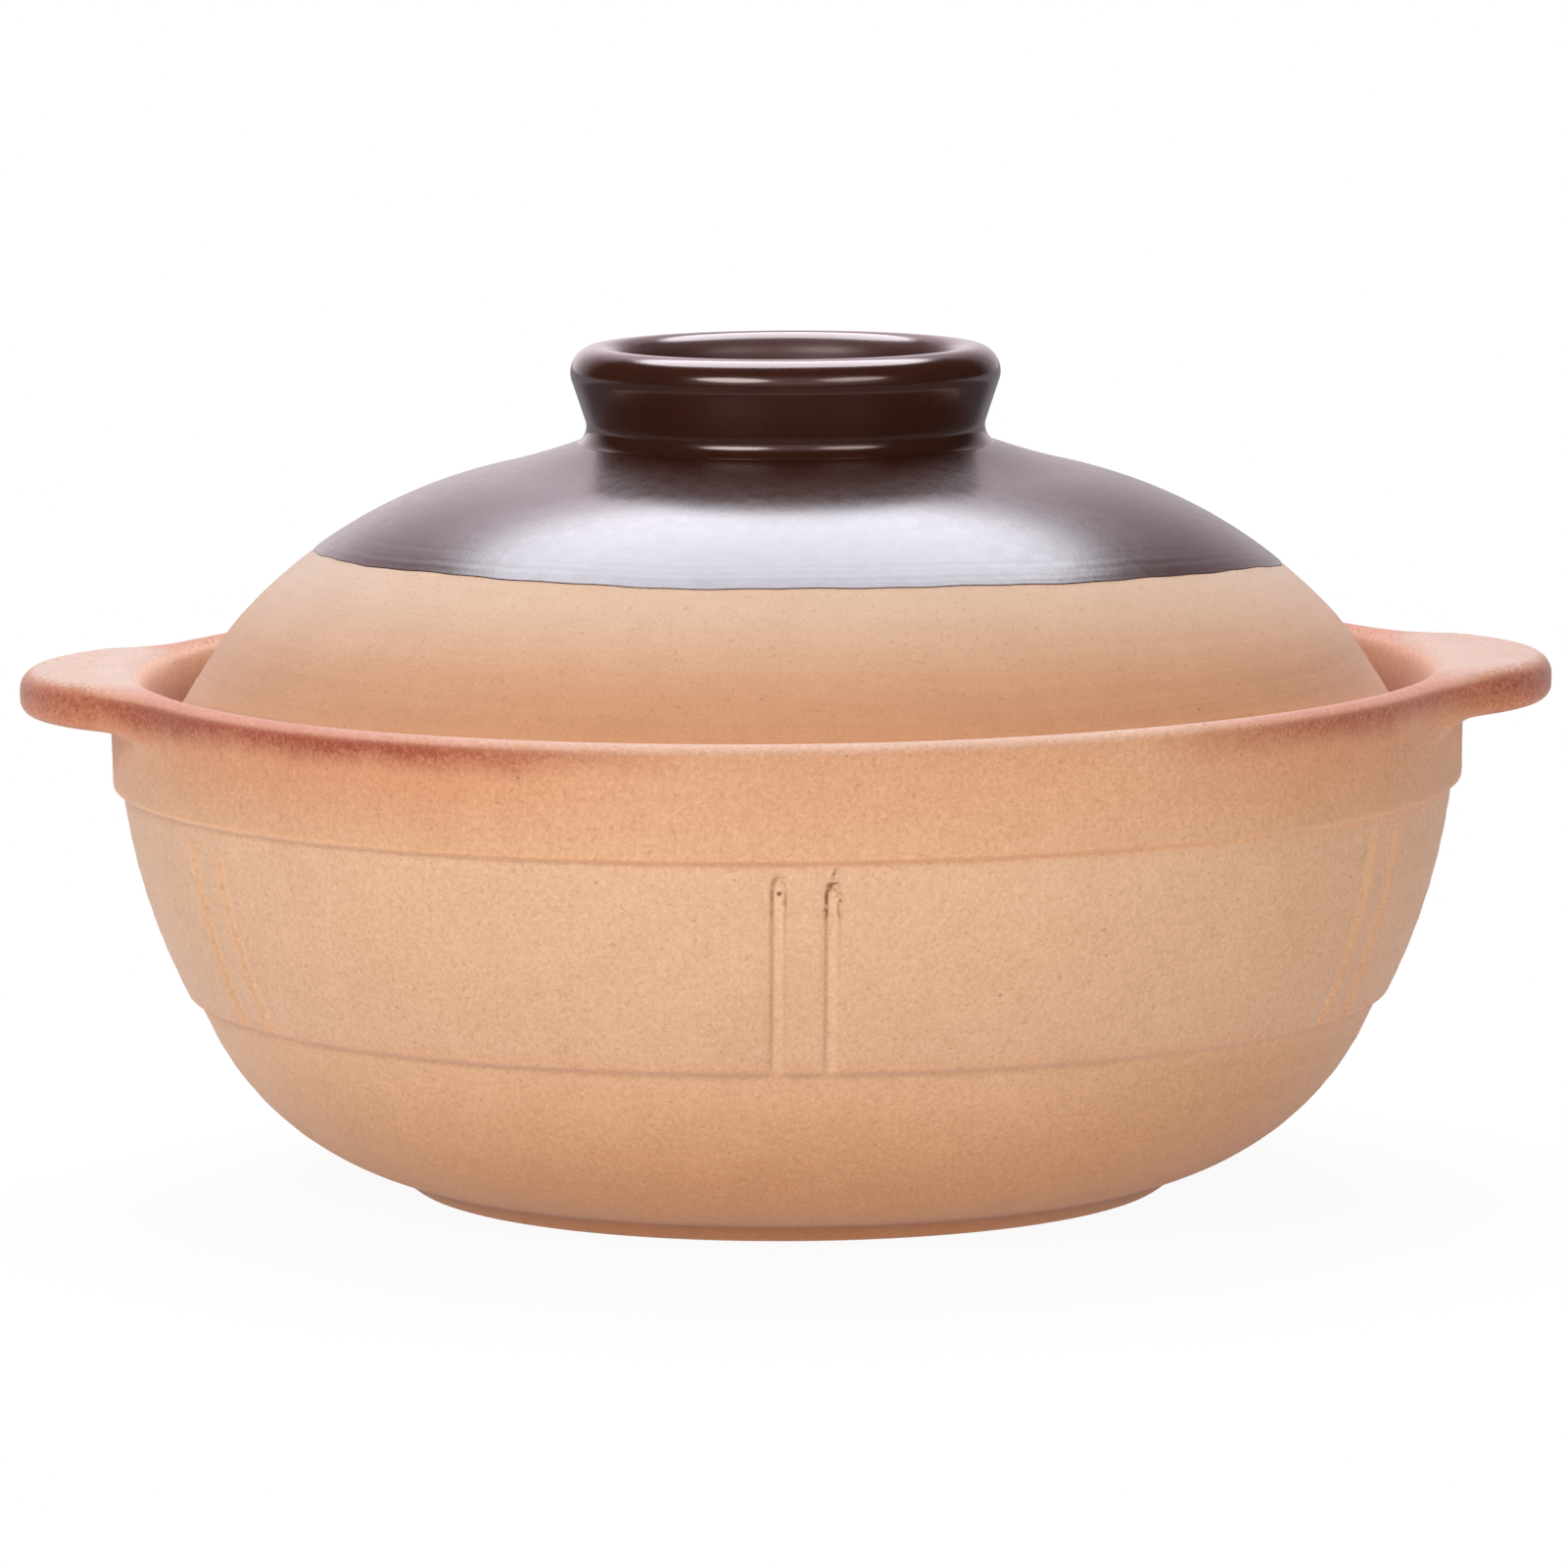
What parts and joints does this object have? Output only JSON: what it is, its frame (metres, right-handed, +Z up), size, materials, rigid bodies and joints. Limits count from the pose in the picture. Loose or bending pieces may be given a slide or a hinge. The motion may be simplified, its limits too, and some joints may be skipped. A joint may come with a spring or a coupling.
{
  "type": "clay casserole pot",
  "caption": "Round bare-clay casserole with a raised band, upright grooves and lug handles, and a loose domed lid whose top and hollow ring knob are dipped in brown glaze.",
  "frame": {"origin": "on the table, at the centre of the foot ring", "axes": "+X through the right handle, +Z up along the axis of the pot and the lid, -Y towards the front"},
  "size_m": [0.284, 0.2506, 0.156],
  "materials": {
    "clay": "bare fired clay, matt, fine sandy grain, warm tan with a pink flush at the rim and handles",
    "brown_glaze": "satin gloss dark chocolate-brown glaze"
  },
  "bodies": {
    "pot": {"bowl": "clay", "left_handle": "clay", "right_handle": "clay", "inner_glaze": "brown_glaze"},
    "lid": {"lid_dome": "clay", "lid_knob": "brown_glaze", "lid_glaze": "brown_glaze"}
  },
  "joints": [
    {"name": "lid_lift", "type": "slide", "parent": "pot", "child": "lid", "axis": [0, 0, 1], "range_m": [0, 0.12]}
  ]
}
